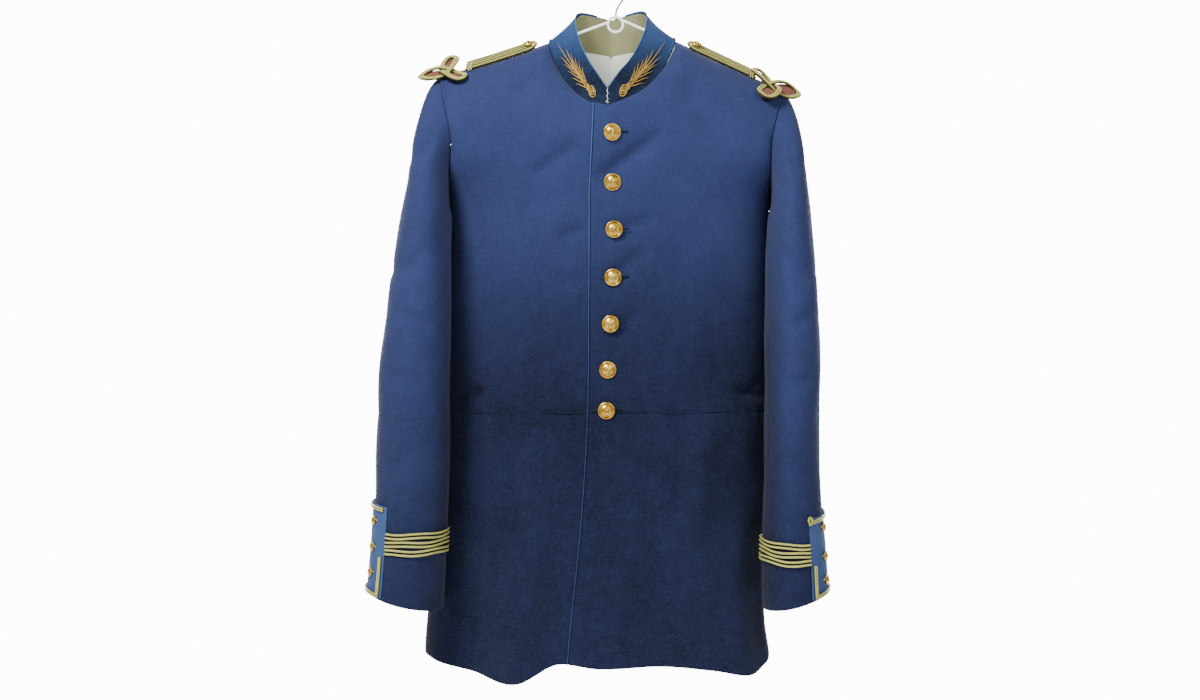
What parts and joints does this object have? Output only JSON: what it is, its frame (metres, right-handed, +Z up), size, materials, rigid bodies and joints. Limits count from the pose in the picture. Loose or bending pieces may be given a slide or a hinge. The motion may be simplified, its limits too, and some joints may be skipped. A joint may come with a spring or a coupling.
{
  "type": "military dress tunic on a wire hanger",
  "caption": "Hollow dress tunic with stand collar, buttoned overlapping front, flared skirt and braided cuffs, hanging on a coated wire hanger with a steel hook",
  "frame": {"origin": "the inner top of the hanger's hook, where it hangs on a rail", "axes": "+X to the wearer's left, +Y from front to back, +Z up"},
  "size_m": [0.5449, 0.2008, 0.8365],
  "materials": {
    "blue_wool": "fine navy blue wool broadcloth with a soft nap",
    "collar_velvet": "mid blue velvet",
    "cuff_velvet": "greyish blue velvet",
    "collar_lining": "olive cotton",
    "back_lining": "pale sage satin",
    "front_piping": "light blue corded piping",
    "gold_braid": "tarnished gold wire braid",
    "gilt_brass": "gilt, softly polished",
    "white_coating": "smooth white plastic coating",
    "bright_steel": "plain bright wire"
  },
  "bodies": {
    "root": {"back_lining_left": "back_lining", "back_lining_right": "back_lining", "bodice_back_left": "blue_wool", "bodice_back_right": "blue_wool", "bodice_front_left": "blue_wool", "bodice_front_right": "blue_wool", "collar_emblem_left": "gold_braid", "collar_emblem_right": "gold_braid", "collar_hook": "bright_steel", "collar_left": "collar_velvet", "collar_lining": "collar_lining", "collar_right": "collar_velvet", "cuff_braid_1_left": "gold_braid", "cuff_braid_1_right": "gold_braid", "cuff_braid_2_left": "gold_braid", "cuff_braid_2_right": "gold_braid", "cuff_braid_3_left": "gold_braid", "cuff_braid_3_right": "gold_braid", "cuff_button_1_left": "gilt_brass", "cuff_button_1_right": "gilt_brass", "cuff_button_2_left": "gilt_brass", "cuff_button_2_right": "gilt_brass", "cuff_button_3_left": "gilt_brass", "cuff_button_3_right": "gilt_brass", "cuff_patch_left": "cuff_velvet", "cuff_patch_right": "cuff_velvet", "cuff_trim_left": "gold_braid", "cuff_trim_right": "gold_braid", "front_button_1": "gilt_brass", "front_button_2": "gilt_brass", "front_button_3": "gilt_brass", "front_button_4": "gilt_brass", "front_button_5": "gilt_brass", "front_button_6": "gilt_brass", "front_button_7": "gilt_brass", "front_piping": "front_piping", "hanger_frame": "white_coating", "hanger_hook": "bright_steel", "shoulder_button_left": "gilt_brass", "shoulder_button_right": "gilt_brass", "shoulder_knot_left": "gold_braid", "shoulder_knot_right": "gold_braid", "shoulder_strap_left": "gold_braid", "shoulder_strap_right": "gold_braid", "skirt_back_left": "blue_wool", "skirt_back_right": "blue_wool", "skirt_front_left": "blue_wool", "skirt_front_right": "blue_wool", "sleeve_top_left": "blue_wool", "sleeve_top_right": "blue_wool", "sleeve_under_left": "blue_wool", "sleeve_under_right": "blue_wool"}
  },
  "joints": []
}
